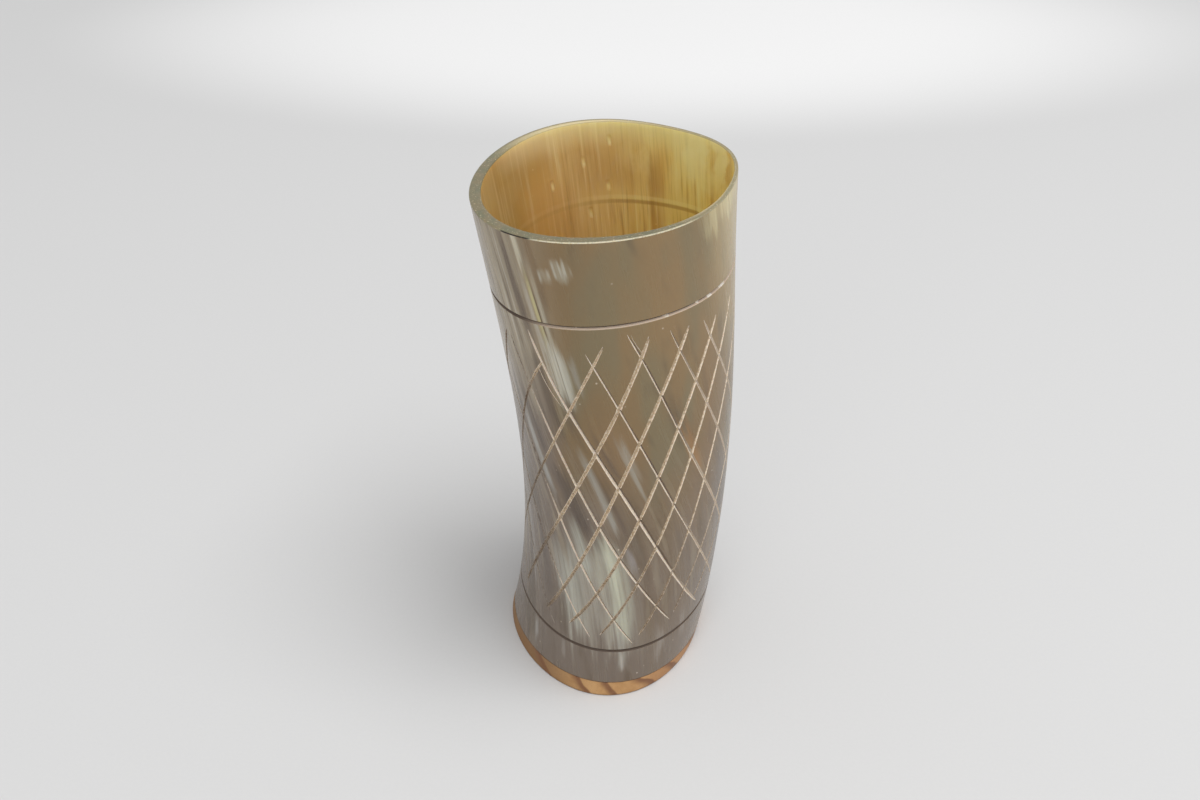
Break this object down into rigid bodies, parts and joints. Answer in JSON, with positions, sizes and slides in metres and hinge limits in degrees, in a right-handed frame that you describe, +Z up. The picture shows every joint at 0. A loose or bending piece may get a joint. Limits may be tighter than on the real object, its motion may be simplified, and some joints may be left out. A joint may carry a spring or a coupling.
{
  "type": "horn drinking cup",
  "caption": "Drinking beaker made from a twisted oval length of polished horn, engraved with rings and a diamond lattice, on a flush wooden bottom.",
  "frame": {"origin": "middle of the foot's underside, on the surface that the cup stands on", "axes": "+Z up out of the mouth, +X to the right and +Y to the back of the pictured side"},
  "size_m": [0.0758, 0.0778, 0.16],
  "materials": {
    "horn": "polished",
    "wood": "sanded",
    "glue": "hardened",
    "seal": "clear coat"
  },
  "bodies": {
    "root": {"horn_wall": "horn", "wooden_base": "wood", "glue_seam": "glue", "floor_seal": "seal"}
  },
  "joints": []
}
